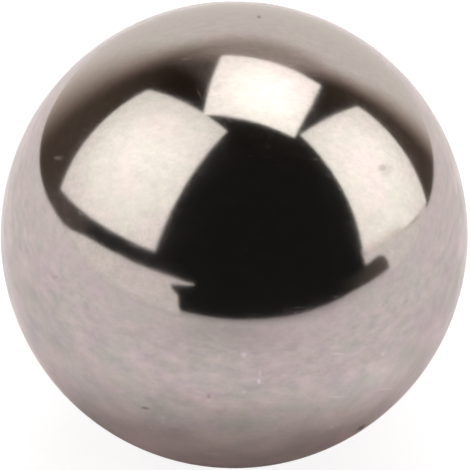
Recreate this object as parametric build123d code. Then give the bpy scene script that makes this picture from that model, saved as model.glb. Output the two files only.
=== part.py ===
from build123d import *

import os

# A polished steel ball, of the kind that runs in bearings, closes check valves and clicks in detents.
# It is one solid piece: a slug headed from wire, ground round between grooved plates and then lapped,
# which leaves a true sphere with no seam, flash ring, pole or flat.
# The frame's origin is the ball's centre and +Z is up. Sizes are in millimetres.

# Driving dimension
BALL_DIAMETER = 12.7  # the 1/2 inch size

# Material
STEEL_GRAMS_PER_MM3 = 7.85e-3


def lapped_ball():
    """The whole ball, centred on the frame's origin."""
    return Sphere(radius=BALL_DIAMETER / 2)


ball = lapped_ball()
weight = ball.volume * STEEL_GRAMS_PER_MM3
print(f"ball: {BALL_DIAMETER} mm across, {ball.volume:.1f} mm3, {weight:.2f} g")

os.makedirs("parts", exist_ok=True)
export_step(ball, "parts/ball.step")
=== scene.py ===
# %% [markdown]
# # A polished steel ball
#
# This lesson dresses one small part: a loose steel ball, 12.7 mm across, lapped to a mirror finish.
# A mirror has almost no look of its own. What the eye reads as "polished steel" is the room that the
# ball reflects, the slight tint and softness that the steel gives that room, and a few tiny marks.
# So the work falls into three parts: a true round form, a finish with real faults in it, and a small
# studio whose lamps and paper are where the photograph's reflections say they were.
#
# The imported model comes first, because the ball has to be exactly as large as the solid it stands for.

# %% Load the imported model
import math

import bpy
import numpy as np
from mathutils import Matrix, Vector


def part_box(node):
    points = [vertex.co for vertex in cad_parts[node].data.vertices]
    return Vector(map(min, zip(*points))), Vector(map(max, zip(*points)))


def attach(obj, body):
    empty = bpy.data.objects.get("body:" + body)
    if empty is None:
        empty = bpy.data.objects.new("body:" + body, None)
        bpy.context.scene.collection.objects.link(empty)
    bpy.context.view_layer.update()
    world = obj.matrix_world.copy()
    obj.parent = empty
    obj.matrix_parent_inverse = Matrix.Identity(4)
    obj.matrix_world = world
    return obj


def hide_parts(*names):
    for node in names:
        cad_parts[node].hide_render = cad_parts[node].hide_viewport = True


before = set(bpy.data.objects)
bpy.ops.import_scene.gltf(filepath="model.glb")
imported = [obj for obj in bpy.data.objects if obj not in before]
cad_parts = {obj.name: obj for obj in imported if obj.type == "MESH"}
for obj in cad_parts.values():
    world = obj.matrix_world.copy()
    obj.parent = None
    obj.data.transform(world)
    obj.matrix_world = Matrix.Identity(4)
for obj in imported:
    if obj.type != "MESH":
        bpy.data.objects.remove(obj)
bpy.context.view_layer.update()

MM = 0.001  # one millimetre in Blender's metres

ball_low, ball_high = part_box("ball")
RADIUS = (ball_high.z - ball_low.z) / 2
print(f"the solid ball is {2 * RADIUS / MM:.3f} mm across")

# %% [markdown]
# ## Colours and nodes
#
# Colours are written as they would be picked on a screen, as sRGB hex values, and Blender mixes light in
# linear values, so one function turns the first into the second. A second function adds a shader node
# with its settings and its links in one call, which keeps each finish readable from top to bottom.

# %% Helpers for colours and nodes
def linear(hex_colour):
    """An sRGB hex colour as Blender's linear red, green, blue and alpha."""
    channels = [int(hex_colour[i : i + 2], 16) / 255 for i in (1, 3, 5)]
    return [c / 12.92 if c <= 0.04045 else ((c + 0.055) / 1.055) ** 2.4 for c in channels] + [1.0]


def add_node(tree, kind, settings=None, **inputs):
    """Adds one node. An input is a value, or another node's output to link; _0, _1 name inputs by number."""
    node = tree.nodes.new(kind)
    for name, value in (settings or {}).items():
        setattr(node, name, value)
    for name, value in inputs.items():
        socket = node.inputs[int(name[1:]) if name[0] == "_" else name.replace("_", " ")]
        if isinstance(value, bpy.types.NodeSocket):
            tree.links.new(value, socket)
        else:
            socket.default_value = value
    return node


def new_material(name):
    """An empty node material and its node tree."""
    material = bpy.data.materials.new(name)
    material.use_nodes = True
    material.node_tree.nodes.clear()
    return material, material.node_tree


def nothing_selected():
    """Leaves edit mode and drops the selection, so that the next operator acts on its own piece only."""
    if bpy.context.object and bpy.context.object.mode != "OBJECT":
        bpy.ops.object.mode_set(mode="OBJECT")
    bpy.ops.object.select_all(action="DESELECT")


print(f"mid grey on the screen is {linear('#808080')[0]:.3f} in linear light")

# %% [markdown]
# ## The camera, first
#
# The marks on the ball are found by where they are in the photograph, so the camera is set before the
# ball is made. A ball gives no cue to the lens by its outline, but its reflections do: the lamps' straight
# edges only come out straight if the camera stood about ten radii away, and the reflected horizon only
# comes out level if it looked down by about 40 degrees and was tipped by a few. A long lens fits that.

# %% Camera
PHOTO_SIDE = 470  # the photograph is this many pixels wide and high
OUTLINE_CENTRE = (234.2, 234.7)  # pixel: middle of the ball's outline
OUTLINE_RADIUS = 233.6  # pixels

LENS_MM = 180.0
SENSOR_MM = 36.0
LOOKING_DOWN = math.radians(40.5)
TIPPED = math.radians(3.5)

pixel_slope = SENSOR_MM / LENS_MM / PHOTO_SIDE
outline_angle = math.atan(OUTLINE_RADIUS * pixel_slope)
camera_distance = RADIUS / math.sin(outline_angle)

towards_camera = Vector((0, -math.cos(LOOKING_DOWN), math.sin(LOOKING_DOWN)))
level_right = Vector((1, 0, 0))
level_up = level_right.cross(-towards_camera)
picture_right = math.cos(TIPPED) * level_right + math.sin(TIPPED) * level_up
picture_up = math.cos(TIPPED) * level_up - math.sin(TIPPED) * level_right

camera_data = bpy.data.cameras.new("studio_camera")
camera_data.lens = LENS_MM
camera_data.sensor_width = SENSOR_MM
camera_data.clip_start = 1 * MM
camera_data.clip_end = 20.0
camera_data.shift_x = (PHOTO_SIDE / 2 - OUTLINE_CENTRE[0]) / PHOTO_SIDE
camera_data.shift_y = (OUTLINE_CENTRE[1] - PHOTO_SIDE / 2) / PHOTO_SIDE
camera = bpy.data.objects.new("studio_camera", camera_data)
bpy.context.scene.collection.objects.link(camera)
bpy.context.scene.camera = camera
camera_turn = Matrix((picture_right, picture_up, towards_camera)).transposed().to_4x4()
camera.matrix_world = Matrix.Translation(towards_camera * camera_distance) @ camera_turn
print(f"camera {camera_distance / MM:.1f} mm from the ball's centre")


def on_ball(pixel):
    """The direction from the ball's centre to the place on its surface that shows at a photograph pixel."""
    across = (pixel[0] - OUTLINE_CENTRE[0]) * pixel_slope
    down = (pixel[1] - OUTLINE_CENTRE[1]) * pixel_slope
    ray = (across * picture_right - down * picture_up - towards_camera).normalized()
    eye = towards_camera * camera_distance
    along = -ray.dot(eye)
    reach = along - math.sqrt(max(along * along - eye.length_squared + RADIUS**2, 0))
    return (eye + reach * ray).normalized()


# %% [markdown]
# ## The round form
#
# A real ball is ground between grooved plates and then lapped, which leaves no seam, pole or flat.
# A mesh ball can be started three ways. A UV sphere has two poles where its faces crowd together, and a
# mirror shows them. An icosphere has no poles but its faces are hard to refine in one place. A cube that
# is cut into a fine grid and then cast onto a sphere has even, square faces all over, and any patch of
# it can be cut finer, which the marks need. So the ball starts as a cube.

# %% Cube, cut fine and cast round
CUTS = 95  # the cube's edge becomes 96 faces, each about 0.1 mm wide once it is round


def cast_round(piece):
    """Puts every vertex of a piece exactly on the ball's surface."""
    cast = piece.modifiers.new("Round", "CAST")
    cast.cast_type = "SPHERE"
    cast.factor = 1.0
    cast.use_radius_as_size = False
    cast.size = RADIUS
    bpy.ops.object.modifier_apply(modifier=cast.name)


nothing_selected()
bpy.ops.mesh.primitive_cube_add(size=2 * RADIUS)
ball = bpy.context.object
ball.name = "polished_ball"
bpy.ops.object.mode_set(mode="EDIT")
bpy.ops.mesh.select_all(action="SELECT")
bpy.ops.mesh.subdivide(number_cuts=CUTS)
bpy.ops.object.mode_set(mode="OBJECT")
cast_round(ball)
radii = [v.co.length / MM for v in ball.data.vertices]
print(f"{len(ball.data.polygons)} faces, radius {min(radii):.4f} to {max(radii):.4f} mm")

# %% [markdown]
# ## The marks
#
# A loose ball picks up nicks from its neighbours in the bag. The photograph shows some two dozen: dark
# specks where dirt or rust sits in a pit, one dull smudge in the right lamp's reflection, and short bright
# ticks where something dragged over the steel. Each looks between 0.1 and 0.6 mm across.
# They could be painted on, but a pit also catches the light along its wall, so each one is pushed in:
# the faces round it are cut finer, the ball is cast round again, and the vertices in the mark's core
# are moved inwards with a soft falloff, as proportional editing does by hand. A mark is laid out in the
# picture, because that is where its length and its turn can be read.

# %% Where the marks are
# name, middle as a photograph pixel, length and width in mm as the camera sees them, turn from level in
# degrees, depth in mm, and tone: 1 is dark and dirty, -1 is bare and bright
MARKS = [
    ("speck_near_top", (259, 17), 0.13, 0.15, 0, 0.003, 0.42),
    ("line_above_lamps", (186, 59), 0.32, 0.07, 0, 0.001, -0.2),
    ("speck_in_top_lamp", (217, 88), 0.28, 0.26, 0, 0.001, 0.07),
    ("smudge_in_right_lamp", (386, 170), 0.50, 0.38, -15, 0.001, 0.16),
    ("core_of_smudge", (383, 168), 0.26, 0.23, 0, 0.001, 0.28),
    ("dash_low_left", (145, 408), 0.25, 0.08, -4, 0.003, 0.42),
    ("speck_low_right", (361, 428), 0.34, 0.22, 30, 0.004, 0.75),
    ("speck_low_middle", (209, 396), 0.16, 0.10, 80, 0.002, 0.28),
    ("speck_left", (55, 277), 0.20, 0.11, 0, 0.002, 0.16),
    ("tick_middle", (259, 381), 0.17, 0.10, 90, 0.003, -0.8),
    ("streak_above_tick", (260, 373), 0.36, 0.07, 92, 0.0005, -0.26),
    ("tick_above_middle", (244, 355), 0.17, 0.14, 0, 0.003, -0.7),
    ("tick_low_left", (163, 420), 0.28, 0.08, 84, 0.0005, -0.4),
    ("tick_in_left_band", (58, 158), 0.34, 0.13, 0, 0.001, -0.27),
    ("dash_right_upper", (338, 354), 0.40, 0.07, -5, 0.0005, -0.35),
    ("dash_right_middle", (337, 397), 0.50, 0.07, -4, 0.0005, -0.25),
    ("dash_right_lower", (386, 389), 0.60, 0.07, -3, 0.0005, -0.28),
    ("dash_at_foot", (212, 454), 0.45, 0.07, 0, 0.0005, -0.3),
    ("dot_right", (383, 354), 0.12, 0.10, 0, 0.0005, -0.35),
    ("dot_low_right", (332, 427), 0.14, 0.13, 0, 0.0005, -0.35),
    ("dot_under_speck", (208, 401), 0.16, 0.12, 0, 0.0005, -0.3),
    ("dot_left_of_ticks", (220, 357), 0.13, 0.12, 0, 0.0005, -0.35),
    ("dot_under_ticks", (244, 392), 0.12, 0.11, 0, 0.0005, -0.3),
]
longest = max(mark[2] for mark in MARKS)
shortest = min(mark[2] for mark in MARKS)
print(f"{len(MARKS)} marks, {shortest} to {longest} mm long")

# %% Measuring from a mark
RUNS_INWARDS = 1.2  # how far a mark goes on away from the camera, as a share of its longer side


def spread_from_mark(points, pixel, length, width, turn):
    """How far points lie from a mark's middle as the camera sees it, where 1 is on the mark's edge.

    Near the outline a mark would run on along the surface, so it also ends a little way inwards.
    """
    offset = points - np.array(on_ball(pixel)) * RADIUS
    rightwards = offset @ np.array(picture_right)
    upwards = offset @ np.array(picture_up)
    inwards = offset @ np.array(towards_camera)
    angle = math.radians(turn)
    along = rightwards * math.cos(angle) + upwards * math.sin(angle)
    across = upwards * math.cos(angle) - rightwards * math.sin(angle)
    seen = np.hypot(along / (length * MM / 2), across / (width * MM / 2))
    return np.hypot(seen, inwards / (max(length, width) * RUNS_INWARDS * MM))


def vertex_places(piece):
    """A piece's vertices as rows of x, y and z."""
    flat = np.zeros(len(piece.data.vertices) * 3)
    piece.data.vertices.foreach_get("co", flat)
    return flat.reshape(-1, 3)


print(f"{len(vertex_places(ball))} vertices can be measured from a mark")

# %% Cut finer faces round each mark
FINE_CUTS = 4  # each face near a mark becomes 5 by 5 smaller ones, about 0.02 mm wide
FINE_MARGIN = 0.16  # mm added to a mark's length and width, for the faces that are cut finer
EDGE_SPREAD = 1.3  # what counts as near a mark, where its own edge is at 1


def select_parts(piece, kind, chosen):
    """Selects a piece's faces ("FACE") or vertices ("VERT") where chosen is true, and nothing else."""
    bpy.ops.object.mode_set(mode="EDIT")
    bpy.ops.mesh.select_mode(type=kind)
    bpy.ops.mesh.select_all(action="DESELECT")
    bpy.ops.object.mode_set(mode="OBJECT")
    parts = piece.data.polygons if kind == "FACE" else piece.data.vertices
    parts.foreach_set("select", chosen)
    bpy.ops.object.mode_set(mode="EDIT")


centres = np.zeros(len(ball.data.polygons) * 3)
ball.data.polygons.foreach_get("center", centres)
centres = centres.reshape(-1, 3)
near_a_mark = np.zeros(len(centres), bool)
for name, pixel, length, width, turn, depth, tone in MARKS:
    spread = spread_from_mark(centres, pixel, length + FINE_MARGIN, width + FINE_MARGIN, turn)
    near_a_mark |= spread < EDGE_SPREAD
nothing_selected()
bpy.context.view_layer.objects.active = ball
ball.select_set(True)
select_parts(ball, "FACE", near_a_mark)
bpy.ops.mesh.subdivide(number_cuts=FINE_CUTS)
bpy.ops.object.mode_set(mode="OBJECT")
cast_round(ball)
ball.data.calc_loop_triangles()
print(f"{len(ball.data.loop_triangles)} triangles after cutting finer round {len(MARKS)} marks")

# %% Push each mark in
CORE_SPREAD = 0.3  # the share of a mark that is pushed in, with a falloff round it
NEAREST = 1.01  # where no vertex is in that share, the nearest one leads

for name, pixel, length, width, turn, depth, tone in MARKS:
    spread = spread_from_mark(vertex_places(ball), pixel, length, width, turn)
    core = spread <= max(CORE_SPREAD, spread.min() * NEAREST)
    select_parts(ball, "VERT", core)
    bpy.ops.transform.translate(
        value=-on_ball(pixel) * depth * MM,
        use_proportional_edit=True,
        proportional_edit_falloff="SMOOTH",
        proportional_size=min(length, width) * MM / 2,
    )
    bpy.ops.object.mode_set(mode="OBJECT")
    print(f"{name}: {np.count_nonzero(core)} vertices led, {depth} mm deep")

# %% [markdown]
# ## Wear as an attribute, and true normals
#
# The finish has to know where the marks are. A point attribute carries that: 0 on lapped steel, up to 1 in
# a dirty pit and down to -1 on a bright tick. It follows the surface, so it holds from every side.
# Smooth shading guesses each normal from the faces round it, which is a little off where fine faces meet
# coarse ones, and a mirror doubles the error. On a sphere the true normal is known: it points straight
# out. A Normal Edit modifier sets it so, but only on the lapped part, through a vertex group.

# %% Wear attribute and radial normals
WEAR_SPREAD = 1.35  # the wear fades from full to nothing over the last step of 1 before this
places = vertex_places(ball)
wear = np.zeros(len(places))
inside_mark = np.zeros(len(places), bool)
for name, pixel, length, width, turn, depth, tone in MARKS:
    spread = spread_from_mark(places, pixel, length, width, turn)
    soft_edge = np.clip(WEAR_SPREAD - spread, 0, 1)
    strength = tone * soft_edge * soft_edge * (3 - 2 * soft_edge)
    wear = np.where(np.abs(strength) > np.abs(wear), strength, wear)
    inside_mark |= spread < EDGE_SPREAD
worn = ball.data.attributes.new("worn", "FLOAT", "POINT")
worn.data.foreach_set("value", wear.astype(np.float32))

lapped = ball.vertex_groups.new(name="lapped")
lapped.add([int(i) for i in np.flatnonzero(~inside_mark)], 1.0, "REPLACE")
bpy.ops.object.shade_smooth()
radial = ball.modifiers.new("Radial normals", "NORMAL_EDIT")
radial.mode = "RADIAL"
radial.vertex_group = lapped.name
bpy.ops.object.modifier_apply(modifier=radial.name)
print(f"{np.count_nonzero(inside_mark)} of {len(places)} vertices lie in marks")

# %% [markdown]
# ## Bearing steel, lapped
#
# The real material is chrome bearing steel (52100), through-hardened and lapped to a few hundredths of a
# micrometre. It is a plain metal: no paint, plating or oxide, so it is metallic all the way and keeps
# the default IOR, and its colour is a grey that reflects a little over half of the light.
# The eye reads four things. The room's edges stay crisp but a touch soft, which is the roughness. The
# grey is not even: a thin film of oil and handling tints it pinkish here and cooler there. It is faintly
# mottled and scratched all over. And the marks are dull or bare. Noise in Object coordinates is as large
# as the real thing at any distance and needs no unwrapping, and it looks alike from every side.
# Towards the outline the film stops showing, and the specular tint there is a shade under white, because
# steel doesn't quite mirror everything even at a slant.

# %% Film and mottling
STEEL_PINKISH = "#c5bbbd"
STEEL_GREENISH = "#c2bebb"
FILM_MM = 1.1  # patches of handling film
MOTTLE_MM = 0.27  # smaller mottling inside them
MOTTLE_TINT = 0.05  # how much each colour swings with it
MOTTLE_SHADES = (0.92, 1.08)  # how much darker and brighter it makes the steel
STREAKED = (0.72, 1.0, 1.0)  # both run a little longer from side to side
FILM_THIN, FILM_THICK = 0.35, 0.65  # the noise between which the film goes from nothing to full
NOISE_LOW, NOISE_HIGH = 0.3, 0.7  # nearly all of a noise texture's values lie between these

steel, tree = new_material("bearing_steel_lapped")
output = add_node(tree, "ShaderNodeOutputMaterial")
where = add_node(tree, "ShaderNodeTexCoord").outputs["Object"]
streaked = add_node(tree, "ShaderNodeMapping", Vector=where, Scale=STREAKED).outputs["Vector"]
film = add_node(
    tree, "ShaderNodeTexNoise", Vector=streaked, Scale=1 / (FILM_MM * MM), Detail=4.0, Roughness=0.6
)
mottle = add_node(
    tree, "ShaderNodeTexNoise", Vector=streaked, Scale=1 / (MOTTLE_MM * MM), Detail=4.0, Roughness=0.75
)
film_share = add_node(
    tree, "ShaderNodeMapRange", Value=film.outputs["Fac"], From_Min=FILM_THIN, From_Max=FILM_THICK
)
tint = add_node(
    tree, "ShaderNodeMix", {"data_type": "RGBA"},
    _0=film_share.outputs["Result"], _6=linear(STEEL_GREENISH), _7=linear(STEEL_PINKISH),
)
mottle_shade = add_node(
    tree, "ShaderNodeMapRange", Value=mottle.outputs["Fac"], From_Min=NOISE_LOW, From_Max=NOISE_HIGH,
    To_Min=MOTTLE_SHADES[0], To_Max=MOTTLE_SHADES[1],
)
mottle_tint = add_node(
    tree, "ShaderNodeVectorMath", {"operation": "MULTIPLY_ADD"},
    _0=mottle.outputs["Color"], _1=[MOTTLE_TINT] * 3, _2=[1 - MOTTLE_TINT / 2] * 3,
)
tinted = add_node(
    tree, "ShaderNodeVectorMath", {"operation": "MULTIPLY"}, _0=tint.outputs[2], _1=mottle_tint.outputs[0]
)
mottled = add_node(
    tree, "ShaderNodeVectorMath", {"operation": "SCALE"},
    _0=tinted.outputs[0], Scale=mottle_shade.outputs["Result"],
)
print(f"film patches {FILM_MM} mm across, mottling {MOTTLE_MM} mm")

# %% Hairline scratches
SCRATCH_MM = 0.035  # real lapping scratches are far finer: this is the finest that shows in the render
SCRATCH_STRETCH = 0.07  # a scratch is about fourteen times longer than wide
# the way each set of scratches runs, in degrees about x, y and z
SCRATCH_SETS = [(0, 8, 14), (25, -12, 118), (0, 78, -40)]
SCRATCH_FAINT, SCRATCH_FULL = 0.68, 0.80  # only the noise's highest ridges are scratches
SCRATCH_BRIGHTER = 0.10
SCRATCH_ROUGHER = 0.10

scratches = 0.0
for turn in SCRATCH_SETS:
    along_set = add_node(
        tree, "ShaderNodeMapping", {"vector_type": "TEXTURE"},
        Vector=where,
        Rotation=[math.radians(angle) for angle in turn],
        Scale=(1 / SCRATCH_STRETCH, 1.0, 1.0),
    )
    grain = add_node(
        tree, "ShaderNodeTexNoise",
        Vector=along_set.outputs["Vector"], Scale=1 / (SCRATCH_MM * MM), Detail=1.0, Roughness=0.5,
    )
    lines = add_node(
        tree, "ShaderNodeMapRange", Value=grain.outputs["Fac"], From_Min=SCRATCH_FAINT, From_Max=SCRATCH_FULL
    )
    scratches = add_node(
        tree, "ShaderNodeMath", {"operation": "MAXIMUM"}, _0=lines.outputs["Result"], _1=scratches
    ).outputs[0]
brighter = add_node(
    tree, "ShaderNodeMath", {"operation": "MULTIPLY_ADD"}, _0=scratches, _1=SCRATCH_BRIGHTER, _2=1.0
)
scratched = add_node(
    tree, "ShaderNodeVectorMath", {"operation": "SCALE"}, _0=mottled.outputs[0], Scale=brighter.outputs[0]
)
print(f"{len(SCRATCH_SETS)} sets of scratches, each scratch {SCRATCH_MM} mm wide")

# %% Even at a slant
STEEL_EVEN = "#c4bdbc"  # between the film's two tints
SLANT_FROM, SLANT_TO = 0.35, 0.85  # 0 where the steel faces the eye, 1 on the outline
EVENED = 0.8  # the share of film and scratches that no longer shows on the outline
facing = add_node(tree, "ShaderNodeLayerWeight", Blend=0.5).outputs["Facing"]
slanted = add_node(
    tree, "ShaderNodeMapRange", {"interpolation_type": "SMOOTHSTEP"},
    Value=facing, From_Min=SLANT_FROM, From_Max=SLANT_TO, To_Min=0.0, To_Max=EVENED,
)
evened = add_node(
    tree, "ShaderNodeMix", {"data_type": "RGBA"},
    _0=slanted.outputs["Result"], _6=scratched.outputs[0], _7=linear(STEEL_EVEN),
)
print(f"the steel evens out from {math.degrees(math.acos(1 - SLANT_FROM)):.0f} degrees of slant on")

# %% Wear, roughness and the finished steel
PIT_DIRT = "#3c2f2b"
BARE_TICK = "#f2e4ee"
LAPPED_ROUGHNESS = 0.085  # edges in the reflection stay crisp, but a touch soft
FILM_ROUGHER = (-0.01, 0.015)  # how the roughness swings from no film to thick film
DULLED = 0.5  # how much rougher the steel is in a mark
STEEP_TINT = "#f7f5f5"  # steel mirrors a little less than a plain metal would at a steep slant
WAVINESS_MM = 0.0012  # height of the faint waves that lapping leaves
wear_here = add_node(tree, "ShaderNodeAttribute", {"attribute_name": "worn"}).outputs["Fac"]
dirt = add_node(tree, "ShaderNodeMath", {"operation": "MAXIMUM"}, _0=wear_here, _1=0.0)
bare = add_node(tree, "ShaderNodeMath", {"operation": "MULTIPLY", "use_clamp": True}, _0=wear_here, _1=-1.0)
with_dirt = add_node(
    tree, "ShaderNodeMix", {"data_type": "RGBA"},
    _0=dirt.outputs[0], _6=evened.outputs[2], _7=linear(PIT_DIRT),
)
with_ticks = add_node(
    tree, "ShaderNodeMix", {"data_type": "RGBA"},
    _0=bare.outputs[0], _6=with_dirt.outputs[2], _7=linear(BARE_TICK),
)

hazed = add_node(
    tree, "ShaderNodeMapRange", Value=film.outputs["Fac"], From_Min=FILM_THIN, From_Max=FILM_THICK,
    To_Min=LAPPED_ROUGHNESS + FILM_ROUGHER[0], To_Max=LAPPED_ROUGHNESS + FILM_ROUGHER[1],
)
scratch_haze = add_node(
    tree, "ShaderNodeMath", {"operation": "MULTIPLY_ADD"},
    _0=scratches, _1=SCRATCH_ROUGHER, _2=hazed.outputs["Result"],
)
broken_up = add_node(tree, "ShaderNodeMath", {"operation": "ABSOLUTE"}, _0=wear_here)
dull_marks = add_node(
    tree, "ShaderNodeMath", {"operation": "MULTIPLY_ADD", "use_clamp": True},
    _0=broken_up.outputs[0], _1=DULLED, _2=scratch_haze.outputs[0],
)
waves = add_node(
    tree, "ShaderNodeBump", Strength=1.0, Distance=WAVINESS_MM * MM, Height=film.outputs["Fac"]
)
steel_shader = add_node(
    tree, "ShaderNodeBsdfPrincipled",
    Base_Color=with_ticks.outputs[2], Metallic=1.0, Roughness=dull_marks.outputs[0],
    Specular_Tint=linear(STEEP_TINT), Normal=waves.outputs["Normal"],
)
tree.links.new(steel_shader.outputs["BSDF"], output.inputs["Surface"])
print("steel finish:", len(tree.nodes), "nodes")

# %% Dress the ball
ball.data.materials.clear()
ball.data.materials.append(steel)
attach(ball, "root")
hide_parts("ball")
print(f"{ball.name} wears {steel.name}")

# %% [markdown]
# ## The three lamps
#
# The lamps' reflections have straight edges and square corners in space: worked back through the mirror,
# all three come out as true squares of one size. They are soft boxes, and a 600 mm box is the usual one,
# so the distances follow. Each glows more in the middle of its cloth, where the lamp sits behind it.
# Area lamps would light the scene as well, but a panel with an emission finish can show that glow.

# %% Soft boxes
LAMP_SIDE = 600 * MM
LAMP_CLOTH = "#fffcf2"
# name, middle in mm, turn in degrees about x, y and z, glow at the edge and at the hot spot,
# and the hot spot's place on the cloth as shares of its side
LAMPS = [
    ("left", (-359, 72, 351), (123.6, 9.7, 133.9), 1.17, 1.77, (-0.12, -0.05)),
    ("top", (115, 381, 759), (165.8, -1.2, -10.4), 1.60, 2.20, (0.06, 0.05)),
    ("right", (528, 184, 306), (112.8, -13.5, -123.8), 1.34, 1.82, (0.15, -0.02)),
]
GLOW_REACH = 0.7  # share of the side over which the hot spot fades


def lamp_cloth(name, edge_glow, hot_glow, hot_place):
    """A white cloth that glows from behind, more at the hot spot."""
    material, tree = new_material("lamp_cloth_" + name)
    output = add_node(tree, "ShaderNodeOutputMaterial")
    here = add_node(tree, "ShaderNodeTexCoord").outputs["Object"]
    from_hot = add_node(
        tree, "ShaderNodeVectorMath", {"operation": "DISTANCE"},
        _0=here, _1=(hot_place[0] * LAMP_SIDE, hot_place[1] * LAMP_SIDE, 0),
    )
    glow = add_node(
        tree, "ShaderNodeMapRange", {"interpolation_type": "SMOOTHSTEP"},
        Value=from_hot.outputs["Value"], From_Min=0.0, From_Max=LAMP_SIDE * GLOW_REACH,
        To_Min=hot_glow, To_Max=edge_glow,
    )
    cloth = add_node(tree, "ShaderNodeEmission", Color=linear(LAMP_CLOTH), Strength=glow.outputs["Result"])
    tree.links.new(cloth.outputs[0], output.inputs["Surface"])
    return material


for name, middle, turn, edge_glow, hot_glow, hot_place in LAMPS:
    nothing_selected()
    bpy.ops.mesh.primitive_plane_add(
        size=LAMP_SIDE,
        location=Vector(middle) * MM,
        rotation=[math.radians(angle) for angle in turn],
    )
    lamp = bpy.context.object
    lamp.name = "soft_box_" + name
    lamp.data.materials.append(lamp_cloth(name, edge_glow, hot_glow, hot_place))
    lamp.visible_camera = False
    print(f"{lamp.name}: {Vector(middle).length:.0f} mm from the ball")

# %% The top lamp's full strength
# The photograph clips the top lamp's reflection to white, so its true strength only shows on the paper.
OVERHEAD_WATTS = 6.9
OVERHEAD_SHIFT = Vector((-140, 0, 0)) * MM  # its bright middle lies left of the cloth's middle
overhead_data = bpy.data.lights.new("overhead", "AREA")
overhead_data.size = LAMP_SIDE
overhead_data.energy = OVERHEAD_WATTS
overhead = bpy.data.objects.new("overhead", overhead_data)
bpy.context.scene.collection.objects.link(overhead)
overhead.location = Vector(LAMPS[1][1]) * MM + OVERHEAD_SHIFT
overhead.rotation_euler = (-overhead.location).to_track_quat("-Z", "Y").to_euler()
overhead.visible_glossy = False
overhead.visible_camera = False
print(f"overhead light: {OVERHEAD_WATTS} W, {overhead.location.length / MM:.0f} mm from the ball")

# %% [markdown]
# ## White paper
#
# The ball lies on white paper. Its reflection shows the paper's back edge close behind the ball, straight
# on the left and running a little outwards on the right, and the ball's own soft shadow in front of it.
# The shadow could be painted on a glowing card, but it has to be true from every side, so the paper is
# matt and the lamps light it. It is a little cloudy, as paper is. Three touches of light and shade are
# painted into its colour: a painted shadow in front, where the lens above it would keep some light off, a
# painted pinker tint at the ball's foot, where light would bounce between both, and a painted pool of light
# that the ball would mirror down beside its foot. For the camera alone it is lifted to the white round the
# photograph's ball.

# %% The paper's colour, with a painted lens shadow
PAPER_WHITE = "#eeeaed"
PAINTED_LENS_SHADOW = "#d5cfd3"  # painted shadow: the paper's colour where the lens, close above, would keep some light off
LENS_SHADE_AT = (0, -75 * MM, 0)
LENS_SHADE_ACROSS = 47 * MM  # half its width
LENS_SHADE_LONGER = 2  # and how many times as long as wide it is, to the front

paper, tree = new_material("white_paper")
output = add_node(tree, "ShaderNodeOutputMaterial")
here = add_node(tree, "ShaderNodeTexCoord").outputs["Object"]
# painted shadow: the paper's colour darkens towards a spot in front of the ball, as in the lens's shade
lens_shade = add_node(
    tree, "ShaderNodeMapping", {"vector_type": "TEXTURE"},
    Vector=here, Location=LENS_SHADE_AT, Scale=(1, LENS_SHADE_LONGER, 1),
)
from_lens = add_node(tree, "ShaderNodeVectorMath", {"operation": "LENGTH"}, _0=lens_shade.outputs["Vector"])
out_of_shade = add_node(
    tree, "ShaderNodeMapRange", {"interpolation_type": "SMOOTHSTEP"},
    Value=from_lens.outputs["Value"], From_Min=0.0, From_Max=LENS_SHADE_ACROSS,
)
paper_with_painted_shade = add_node(
    tree, "ShaderNodeMix", {"data_type": "RGBA"},
    _0=out_of_shade.outputs["Result"], _6=linear(PAINTED_LENS_SHADOW), _7=linear(PAPER_WHITE),
)
print(f"the paper is darkest {-LENS_SHADE_AT[1] / MM:.0f} mm in front of the ball")

# %% Cloudy paper
FIBRE_MM = 3.2  # size of its clouds
FIBRE_TINT = 0.2  # how much each colour swings with them
FIBRE_SHADES = (0.86, 1.14)  # how much darker and brighter they make the paper
fibres = add_node(
    tree, "ShaderNodeTexNoise", Vector=here, Scale=1 / (FIBRE_MM * MM), Detail=4.0, Roughness=0.65
)
cloudy = add_node(
    tree, "ShaderNodeMapRange", Value=fibres.outputs["Fac"], From_Min=NOISE_LOW, From_Max=NOISE_HIGH,
    To_Min=FIBRE_SHADES[0], To_Max=FIBRE_SHADES[1],
)
cloud_tint = add_node(
    tree, "ShaderNodeVectorMath", {"operation": "MULTIPLY_ADD"},
    _0=fibres.outputs["Color"], _1=[FIBRE_TINT] * 3, _2=[1 - FIBRE_TINT / 2] * 3,
)
tinted = add_node(
    tree, "ShaderNodeVectorMath", {"operation": "MULTIPLY"},
    _0=paper_with_painted_shade.outputs[2], _1=cloud_tint.outputs[0],
)
print(f"clouds {FIBRE_MM} mm across in the paper")

# %% Painted light that would come off the ball
PAINTED_BOUNCE_TINT = (1.0, 0.90, 0.90, 1.0)  # painted bounce light: at the ball's foot the paper's colour is tinted pinker, as light bounced off both would be
PAINTED_BOUNCE_FROM, PAINTED_BOUNCE_TO = 6.5 * MM, 11.5 * MM
PAINTED_LIGHT_POOL_AT = (8 * MM, -5 * MM, ball_low.z)  # painted pool of light: the ball would throw some of the right lamp's light here
PAINTED_LIGHT_POOL_REACH = 8 * MM
PAINTED_LIGHT_POOL_GAIN = 1.15
from_ball = add_node(tree, "ShaderNodeVectorMath", {"operation": "LENGTH"}, _0=here)
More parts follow.
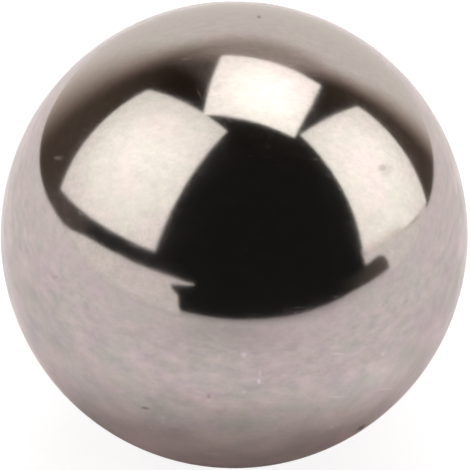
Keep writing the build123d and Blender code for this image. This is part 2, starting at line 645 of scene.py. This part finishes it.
# painted bounce light: the pink tint fades out with distance from the ball
out_of_painted_bounce = add_node(
    tree, "ShaderNodeMapRange", {"interpolation_type": "SMOOTHSTEP"},
    Value=from_ball.outputs["Value"], From_Min=PAINTED_BOUNCE_FROM, From_Max=PAINTED_BOUNCE_TO,
)
bounced = add_node(
    tree, "ShaderNodeMix", {"data_type": "RGBA"},
    _0=out_of_painted_bounce.outputs["Result"], _6=PAINTED_BOUNCE_TINT, _7=(1, 1, 1, 1),
)
painted_bounce_tinted = add_node(
    tree, "ShaderNodeVectorMath", {"operation": "MULTIPLY"}, _0=tinted.outputs[0], _1=bounced.outputs[2]
)
# painted light: the paper's colour is brighter in a soft patch beside the ball's foot
from_painted_pool = add_node(
    tree, "ShaderNodeVectorMath", {"operation": "DISTANCE"}, _0=here, _1=PAINTED_LIGHT_POOL_AT
)
painted_light_pool = add_node(
    tree, "ShaderNodeMapRange", {"interpolation_type": "SMOOTHSTEP"},
    Value=from_painted_pool.outputs["Value"], From_Min=0.0, From_Max=PAINTED_LIGHT_POOL_REACH,
    To_Min=PAINTED_LIGHT_POOL_GAIN, To_Max=1.0,
)
# the paper's clouds, times the painted pool of light
shade = add_node(
    tree, "ShaderNodeMath", {"operation": "MULTIPLY"},
    _0=cloudy.outputs["Result"], _1=painted_light_pool.outputs["Result"],
)
paper_with_painted_light = add_node(
    tree, "ShaderNodeVectorMath", {"operation": "SCALE"}, _0=painted_bounce_tinted.outputs[0], Scale=shade.outputs[0]
)
matte = add_node(tree, "ShaderNodeBsdfDiffuse", Color=paper_with_painted_light.outputs[0])
print(f"the paper is pinker out to {PAINTED_BOUNCE_TO / MM} mm from the ball's middle")

# %% Lifted to white for the camera
SHADOW_LIFT, SHADOW_REACH = 0.74, 3 * MM  # the camera exposes the paper up this far in the ball's shadow
WHITE_REACH = 24 * MM  # and up to plain white from here on
LIFTED_GLOW = 1.15
seen_by_camera = add_node(tree, "ShaderNodeLightPath").outputs["Is Camera Ray"]
lift_here = add_node(
    tree, "ShaderNodeMapRange", {"interpolation_type": "SMOOTHSTEP"},
    Value=from_ball.outputs["Value"], From_Min=SHADOW_REACH, From_Max=WHITE_REACH,
    To_Min=SHADOW_LIFT, To_Max=1.0,
)
lift = add_node(
    tree, "ShaderNodeMath", {"operation": "MULTIPLY"}, _0=seen_by_camera, _1=lift_here.outputs["Result"]
)
lifted = add_node(tree, "ShaderNodeEmission", Color=(1, 1, 1, 1), Strength=LIFTED_GLOW)
both = add_node(tree, "ShaderNodeMixShader", _0=lift.outputs[0], _1=matte.outputs[0], _2=lifted.outputs[0])
tree.links.new(both.outputs[0], output.inputs["Surface"])
print("paper finish:", len(tree.nodes), "nodes")

# %% Paper floor
PAPER_REACH = 1.5  # metres to the front and the sides
PAPER_BACK_LEFT = 36 * MM  # how far behind the ball's middle the paper ends
PAPER_BACK_RIGHT = 42 * MM
PAPER_SKEW = 0.1  # slope of the right half of its back edge
FLOOR_Z = ball_low.z
corners = [
    (-PAPER_REACH, -PAPER_REACH),
    (PAPER_REACH, -PAPER_REACH),
    (PAPER_REACH, PAPER_BACK_RIGHT + PAPER_SKEW * PAPER_REACH),
    (0, PAPER_BACK_RIGHT),
    (-PAPER_BACK_LEFT, PAPER_BACK_LEFT),
    (-PAPER_REACH, PAPER_BACK_LEFT),
]
floor_mesh = bpy.data.meshes.new("paper_floor")
floor_mesh.from_pydata([(x, y, FLOOR_Z) for x, y in corners], [], [tuple(range(len(corners)))])
floor = bpy.data.objects.new("paper_floor", floor_mesh)
bpy.context.scene.collection.objects.link(floor)
floor.data.materials.append(paper)
print(f"paper ends {PAPER_BACK_LEFT / MM:.0f} to {PAPER_BACK_RIGHT / MM:.0f} mm behind the ball")

# %% The paper's lifted front edge
# The reflected horizon lies a little higher than level paper would show it, so the sheet rises in front.
LIFT_STARTS, LIFT_ENDS = 200 * MM, 380 * MM  # from the ball's middle
# turn in degrees, 0 towards the camera and 90 to the right, and the edge's height in degrees as the ball
# sees it
LIFTED_EDGE = [
    (-24, 0.7), (-10, 0.5), (0, 0.3), (15, 0.25), (30, 0.0), (39, 0.3),
    (50, 0.7), (57, 1.0), (68, 0.0), (76, -0.6), (84, -0.9),
]
foot, edge = [], []
for turn, height in LIFTED_EDGE:
    aside = math.sin(math.radians(turn))
    ahead = -math.cos(math.radians(turn))
    foot.append((aside * LIFT_STARTS, ahead * LIFT_STARTS, FLOOR_Z))
    edge.append((aside * LIFT_ENDS, ahead * LIFT_ENDS, LIFT_ENDS * math.tan(math.radians(height))))
count = len(LIFTED_EDGE)
strips = [(i, i + 1, count + i + 1, count + i) for i in range(count - 1)]
lifted_mesh = bpy.data.meshes.new("lifted_edge")
lifted_mesh.from_pydata(foot + edge, [], strips)
lifted_edge = bpy.data.objects.new("lifted_edge", lifted_mesh)
bpy.context.scene.collection.objects.link(lifted_edge)
lifted_edge.data.materials.append(paper)
print(f"the paper's front edge lifts {max(point[2] for point in edge) / MM:.1f} mm over the ball's centre")

# %% Table beyond the paper, for the camera alone
TABLE_UNDER = 0.1 * MM  # how far it lies under the paper
white, tree = new_material("white_table")
output = add_node(tree, "ShaderNodeOutputMaterial")
plain = add_node(tree, "ShaderNodeEmission", Color=(1, 1, 1, 1), Strength=1.0)
tree.links.new(plain.outputs[0], output.inputs["Surface"])
nothing_selected()
bpy.ops.mesh.primitive_plane_add(size=4 * PAPER_REACH, location=(0, 0, FLOOR_Z - TABLE_UNDER))
table = bpy.context.object
table.name = "white_table"
table.data.materials.append(white)
table.visible_diffuse = False
table.visible_glossy = False
table.visible_shadow = False
print(f"{table.name}: {4 * PAPER_REACH:.0f} m across")

# %% [markdown]
# ## Cards that stand round the ball
#
# Three sheets show in the steel besides the lamps: a sweep behind the paper, a sheet that curls up at
# the left front and a small card at the right. None is lit: each glows, and its light and shade are painted
# into that glow. A few dim glowing cards fill the gaps between them with painted faint light. Each is placed
# by what the mirror shows, so one function follows the mirrored ray: it leaves the spot on the ball that
# faces halfway between the camera and the card. Three attributes say how solid, how bright and how
# shaded each place is: towards an edge out of the light a card fades, and turns warm and brown as it
# does, which is painted shade. Only reflections see the cards.

# %% Helpers for the cards
SETTLING_ROUNDS = 4  # the mirrored spot and the ray to the camera settle on each other this fast


def mirrored_place(turn, height, reach, lowest=None):
    """The point that the ball mirrors from a turn and a height in degrees, as far off as reach.

    Turn 0 is towards the camera and 90 to the right. No point lies under the level given as lowest.
    """
    level, rise = math.radians(turn), math.radians(height)
    direction = Vector((math.sin(level) * math.cos(rise), -math.cos(level) * math.cos(rise), math.sin(rise)))
    spot = (direction + towards_camera).normalized()
    for _ in range(SETTLING_ROUNDS):
        to_eye = (towards_camera * camera_distance - spot * RADIUS).normalized()
        spot = (direction + to_eye).normalized()
    start = spot * RADIUS
    if lowest is not None and start.z + direction.z * reach < lowest:
        reach = (lowest - start.z) / direction.z
    return start + direction * reach


def smooth_between(value, start, end):
    """0 before start, 1 after end and a soft step between them."""
    share = np.clip((value - start) / (end - start), 0, 1)
    return share * share * (3 - 2 * share)


mirrored_ahead = mirrored_place(0, 0, 1.0)
print(f"straight ahead is mirrored from {mirrored_ahead.z / MM:.1f} mm over the ball's centre")

# %% One material for all the cards
CARD_WHITE = "#fffaf1"
CARD_IN_SHADE = "#ffe6d2"
card_paper, tree = new_material("glowing_card_painted_light")
output = add_node(tree, "ShaderNodeOutputMaterial")
solid = add_node(tree, "ShaderNodeAttribute", {"attribute_name": "solid"}).outputs["Fac"]
bright = add_node(tree, "ShaderNodeAttribute", {"attribute_name": "bright"}).outputs["Fac"]
shaded = add_node(tree, "ShaderNodeAttribute", {"attribute_name": "shaded"}).outputs["Fac"]
# painted light and shade: a card glows white, or warm brown where it is meant to lie in shade
card_colour = add_node(
    tree, "ShaderNodeMix", {"data_type": "RGBA"}, _0=shaded, _6=linear(CARD_WHITE), _7=linear(CARD_IN_SHADE)
)
card_light = add_node(tree, "ShaderNodeEmission", Color=card_colour.outputs[2], Strength=bright)
nothing_there = add_node(tree, "ShaderNodeBsdfTransparent")
faded = add_node(
    tree, "ShaderNodeMixShader", _0=solid, _1=nothing_there.outputs[0], _2=card_light.outputs[0]
)
tree.links.new(faded.outputs[0], output.inputs["Surface"])
print("card finish:", len(tree.nodes), "nodes")


# %% Helper that stands a card
def stand_card(name, places, solid, bright, shaded=None):
    """Makes a card from rows of points, with how solid, how bright and how shaded it is at each.

    A card that isn't told how shaded it is gets browner as it fades.
    """
    shaded = 1 - np.asarray(solid) if shaded is None else shaded
    rows, columns = np.shape(places)[:2]
    first = (np.arange(rows - 1)[:, None] * columns + np.arange(columns - 1)).ravel()
    faces = np.stack([first, first + 1, first + columns + 1, first + columns], axis=1)
    mesh = bpy.data.meshes.new(name)
    mesh.from_pydata(np.reshape(places, (-1, 3)).tolist(), [], faces.tolist())
    for label, values in (("solid", solid), ("bright", bright), ("shaded", shaded)):
        layer = mesh.attributes.new(label, "FLOAT", "POINT")
        layer.data.foreach_set("value", np.broadcast_to(values, (rows, columns)).astype(np.float32).ravel())
    mesh.materials.append(card_paper)
    card = bpy.data.objects.new(name, mesh)
    bpy.context.scene.collection.objects.link(card)
    card.visible_camera = False
    card.visible_diffuse = False
    card.visible_shadow = False
    print(f"{name}: {len(faces)} faces")


# %% White sweep behind the paper
SWEEP_BRIGHT = 0.90
SWEEP_DISTANCE = 2.0
SWEEP_RIGHT, SWEEP_RIGHT_SOFT = 127.5, 19  # degrees: where its right edge starts, and how wide its fade is
SWEEP_LEFT, SWEEP_LEFT_SOFT = 235, 34
SWEEP_LOW, SWEEP_HIGH = -20, 46  # degrees: it starts under the paper and ends behind the top lamp
NARROWING_RIGHT, NARROWING_LEFT = 0.0095, 0.014  # its edges close in with the square of the height
SWEEP_DIMS_FROM, SWEEP_DIMS_TO = 21, 37  # degrees: painted shade: it fades upwards between these, as the light on it falls off
SWEEP_DIMS_BY = 0.5
SWEEP_COLUMNS, SWEEP_ROWS = 116, 80

turns = np.linspace(SWEEP_RIGHT, SWEEP_LEFT, SWEEP_COLUMNS)
heights = np.linspace(SWEEP_LOW, SWEEP_HIGH, SWEEP_ROWS)
turn_grid, height_grid = np.meshgrid(turns, heights)
squared = np.maximum(height_grid, 0) ** 2
right_edge = SWEEP_RIGHT + NARROWING_RIGHT * squared
left_edge = SWEEP_LEFT - NARROWING_LEFT * squared
from_right = smooth_between(turn_grid, right_edge, right_edge + SWEEP_RIGHT_SOFT)
from_left = smooth_between(-turn_grid, -left_edge, SWEEP_LEFT_SOFT - left_edge)
# painted shade: the sweep fades into the dark room upwards
upwards = 1 - SWEEP_DIMS_BY * smooth_between(height_grid, SWEEP_DIMS_FROM, SWEEP_DIMS_TO)
under_paper = FLOOR_Z - TABLE_UNDER / 2
sweep_places = [[mirrored_place(t, h, SWEEP_DISTANCE, under_paper) for t in turns] for h in heights]
# painted shade: where the sweep fades at its edges, it also turns warm and brown
stand_card("white_sweep", sweep_places, from_right * from_left * upwards, SWEEP_BRIGHT)

# %% Curled sheet at the left front
CURL_REACH = 120 * MM
CURL_BRIGHT = (1.03, 0.92)  # at its left end and at its free end
CURL_BRIGHT_TURNS = (-80, -25)  # and the turns between which it changes
CURL_LOW = -4.5  # degrees: its foot
CURL_FOOT_FADE = (-4.2, -0.2)  # degrees: it fades into the paper between these heights
# turn and height in degrees along its top edge, from its free end round to the left
CURL_TOP = [
    (-17, 14.4), (-24, 14.6), (-30, 14.8), (-37, 14.3), (-45, 13.2),
    (-56, 11.8), (-63, 10.1), (-76, 6.4), (-85, 1.9), (-95, -1.8),
]
# height share and turn along the free end, which has a notch under its top corner
CURL_END = [
    (0.0, -21.0), (0.25, -22.0), (0.38, -23.2), (0.60, -24.0), (0.72, -27.4),
    (0.83, -28.3), (0.89, -25.0), (0.94, -19.5), (1.0, -17.0),
]
CURL_END_FROM = -45  # the columns from here to the free end lean with it
CURL_ROWS = 48

curl_places, curl_solid, curl_bright = [], [], []
end_shares, end_turns = zip(*CURL_END)
for share in np.linspace(0, 1, CURL_ROWS):
    row, solid_row, bright_row = [], [], []
    for turn, top in CURL_TOP:
        height = CURL_LOW + share * (top - CURL_LOW)
        if turn > CURL_END_FROM:
            free_end = np.interp(share, end_shares, end_turns)
            along_end = (turn - CURL_END_FROM) / (CURL_TOP[0][0] - CURL_END_FROM)
            turn = CURL_END_FROM + along_end * (free_end - CURL_END_FROM)
        row.append(mirrored_place(turn, height, CURL_REACH))
        solid_row.append(smooth_between(height, *CURL_FOOT_FADE))
        # painted light: the sheet glows brighter at its left end than at its free end
        bright_row.append(np.interp(turn, CURL_BRIGHT_TURNS, CURL_BRIGHT))
    curl_places.append(row)
    curl_solid.append(solid_row)
    curl_bright.append(bright_row)
stand_card("curled_sheet", curl_places, curl_solid, curl_bright, 0.0)

# %% Small card at the right
CARD_REACH = 150 * MM
CARD_BRIGHT = 1.0
# turn, lowest height, height up to which it is solid and height where it has faded out, in degrees:
# its front corner hangs free over a dark gap, and its right half only just reaches the lamp's lower edge
CARD_COLUMNS = [
    (67, 7.6, 11, 16), (72, 7.3, 10, 15.5), (75.5, 6.6, 9, 15), (77.5, 5.0, 8.5, 14),
    (78.4, 2.5, 8.3, 14), (78.6, -4.5, 8.2, 14), (82, -4.5, 7, 13), (86, -4.5, 6.2, 12),
    (90, -4.5, 5, 9.8), (92, -4.5, 4, 7.6), (94, -4.5, 3.0, 5.8), (98, -4.5, 1.4, 3.6),
    (102, -4.5, 0.0, 1.8), (106, -4.5, -1.0, 0.5), (111, -5.0, -2.6, -1.4),
]
CARD_ROWS = 24

card_places, card_solid = [], []
for share in np.linspace(0, 1, CARD_ROWS):
    row, solid_row = [], []
    for turn, foot, full, gone in CARD_COLUMNS:
        height = foot + share * (gone - foot)
        row.append(mirrored_place(turn, height, CARD_REACH))
        solid_row.append(1 - smooth_between(height, full, gone))
    card_places.append(row)
    card_solid.append(solid_row)
stand_card("small_card", card_places, card_solid, CARD_BRIGHT)

# %% Dim glowing cards in the gaps, in painted faint light
# where each starts and ends in turn and in height, its reach in metres and how bright it is, and between
# which two turns it fades in and which two it fades out
DIM_THINGS = [
    ("dim_shelf", (48, 80), (-2, 9), 0.4, 0.11, (48, 78), (80, 81)),
    ("dim_wall_left", (-116, -74), (-10, 16), 1.1, 0.11, (-116, -100), (-86, -74)),
    ("dim_glow_high", (-176, -146), (36, 62), 2.2, 0.10, (-176, -174), (-158, -146)),
]
DIM_FADE = 4  # degrees over which each fades out at its top
DIM_COLUMNS, DIM_ROWS = 30, 12

for name, across, up, reach, brightness, fade_in, fade_out in DIM_THINGS:
    dim_turns = np.linspace(*across, DIM_COLUMNS)
    dim_heights = np.linspace(*up, DIM_ROWS)
    turn_grid, height_grid = np.meshgrid(dim_turns, dim_heights)
    dim_solid = smooth_between(turn_grid, *fade_in) * (1 - smooth_between(turn_grid, *fade_out))
    dim_solid *= 1 - smooth_between(height_grid, up[1] - DIM_FADE, up[1])
    dim_places = [[mirrored_place(t, h, reach) for t in dim_turns] for h in dim_heights]
    # painted faint light and shade: each glows dimly, all in the warm shade colour
    stand_card(name, dim_places, dim_solid, brightness, 1.0)

# %% [markdown]
# ## The dark room
#
# Beyond the lamps the room is unlit, and that is the black heart of the reflection. The world stands for
# it: almost black in front, a little brown light behind, a soft fill on the paper, and plain white for
# the camera behind the ball.

# %% World
ROOM_FRONT = "#1e1e1c"
ROOM_BACK = "#54493f"
ROOM_TOP = "#1e140b"
PAPER_FILL = "#3a1c1e"
BACK_FROM, BACK_TO = -0.4, 0.5  # how far backwards a ray looks, as a share of 1: the room turns brown
TOP_FROM, TOP_TO = 0.3, 0.85  # and how far up: it turns dark again
world = bpy.data.worlds.new("dark_room")
bpy.context.scene.world = world
world.use_nodes = True
tree = world.node_tree
tree.nodes.clear()
output = add_node(tree, "ShaderNodeOutputWorld")
path = add_node(tree, "ShaderNodeLightPath")
looking = add_node(tree, "ShaderNodeTexCoord").outputs["Generated"]
towards = add_node(tree, "ShaderNodeSeparateXYZ", Vector=looking)
backwards = add_node(
    tree, "ShaderNodeMapRange", {"interpolation_type": "SMOOTHSTEP"},
    Value=towards.outputs["Y"], From_Min=BACK_FROM, From_Max=BACK_TO,
)
high_up = add_node(
    tree, "ShaderNodeMapRange", {"interpolation_type": "SMOOTHSTEP"},
    Value=towards.outputs["Z"], From_Min=TOP_FROM, From_Max=TOP_TO,
)
back_colour = add_node(
    tree, "ShaderNodeMix", {"data_type": "RGBA"},
    _0=high_up.outputs["Result"], _6=linear(ROOM_BACK), _7=linear(ROOM_TOP),
)
room_colour = add_node(
    tree, "ShaderNodeMix", {"data_type": "RGBA"},
    _0=backwards.outputs["Result"], _6=linear(ROOM_FRONT), _7=back_colour.outputs[2],
)
room = add_node(tree, "ShaderNodeBackground", Color=room_colour.outputs[2], Strength=1.0)
fill = add_node(tree, "ShaderNodeBackground", Color=linear(PAPER_FILL), Strength=1.0)
behind = add_node(tree, "ShaderNodeBackground", Color=(1, 1, 1, 1), Strength=1.0)
room_or_fill = add_node(
    tree, "ShaderNodeMixShader", _0=path.outputs["Is Diffuse Ray"], _1=room.outputs[0], _2=fill.outputs[0]
)
all_rays = add_node(
    tree, "ShaderNodeMixShader",
    _0=path.outputs["Is Camera Ray"], _1=room_or_fill.outputs[0], _2=behind.outputs[0],
)
tree.links.new(all_rays.outputs[0], output.inputs["Surface"])
print("dark room:", len(tree.nodes), "nodes")

# %% Plain colours in the picture
bpy.context.scene.view_settings.view_transform = "Standard"
bpy.context.scene.view_settings.look = "None"
print("view transform:", bpy.context.scene.view_settings.view_transform)
